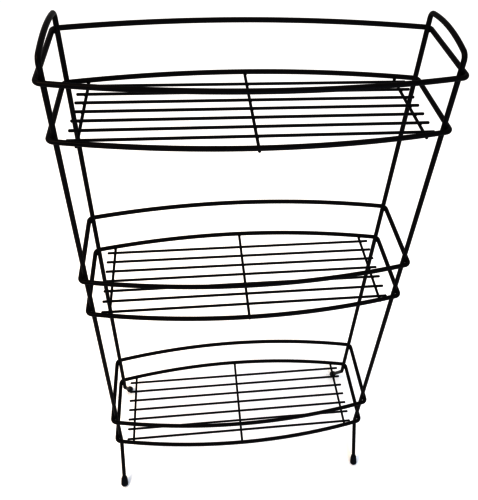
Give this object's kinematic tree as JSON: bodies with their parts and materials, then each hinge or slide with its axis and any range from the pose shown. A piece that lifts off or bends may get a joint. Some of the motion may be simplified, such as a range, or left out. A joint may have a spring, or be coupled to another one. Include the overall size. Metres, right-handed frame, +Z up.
{
  "type": "wire basket rack",
  "caption": "Tall narrow free-standing rack of black coated wire: shallow bowed baskets welded between two arched side frames that stand on short splayed legs with soft caps.",
  "frame": {"origin": "on the floor, midway between the four feet, at the bottom centre of the bounding box", "axes": "+Z up the rack, +X along the baskets to the right as seen from the front, +Y from the front to the back"},
  "size_m": [0.4104, 0.1878, 0.767],
  "materials": {
    "frame_wire": "satin black powder coat on bent steel wire",
    "rim_wire": "satin black powder coat on bent steel wire",
    "floor_wire": "satin black powder coat on thin straight steel wire",
    "foot_cap": "matt black moulded soft plastic"
  },
  "bodies": {
    "root": {"left_side_frame": "frame_wire", "right_side_frame": "frame_wire", "bottom_lower_rim": "rim_wire", "bottom_upper_rim": "rim_wire", "bottom_cross_wire_left": "floor_wire", "bottom_cross_wire_centre": "floor_wire", "bottom_cross_wire_right": "floor_wire", "bottom_floor_wire_1": "floor_wire", "bottom_floor_wire_2": "floor_wire", "bottom_floor_wire_3": "floor_wire", "bottom_floor_wire_4": "floor_wire", "bottom_floor_wire_5": "floor_wire", "bottom_floor_wire_6": "floor_wire", "bottom_floor_wire_7": "floor_wire", "middle_lower_rim": "rim_wire", "middle_upper_rim": "rim_wire", "middle_cross_wire_left": "floor_wire", "middle_cross_wire_centre": "floor_wire", "middle_cross_wire_right": "floor_wire", "middle_floor_wire_1": "floor_wire", "middle_floor_wire_2": "floor_wire", "middle_floor_wire_3": "floor_wire", "middle_floor_wire_4": "floor_wire", "middle_floor_wire_5": "floor_wire", "middle_floor_wire_6": "floor_wire", "middle_floor_wire_7": "floor_wire", "top_lower_rim": "rim_wire", "top_upper_rim": "rim_wire", "top_cross_wire_left": "floor_wire", "top_cross_wire_centre": "floor_wire", "top_cross_wire_right": "floor_wire", "top_floor_wire_1": "floor_wire", "top_floor_wire_2": "floor_wire", "top_floor_wire_3": "floor_wire", "top_floor_wire_4": "floor_wire", "top_floor_wire_5": "floor_wire", "top_floor_wire_6": "floor_wire", "top_floor_wire_7": "floor_wire", "front_left_foot_cap": "foot_cap", "front_right_foot_cap": "foot_cap", "rear_left_foot_cap": "foot_cap", "rear_right_foot_cap": "foot_cap"}
  },
  "joints": []
}
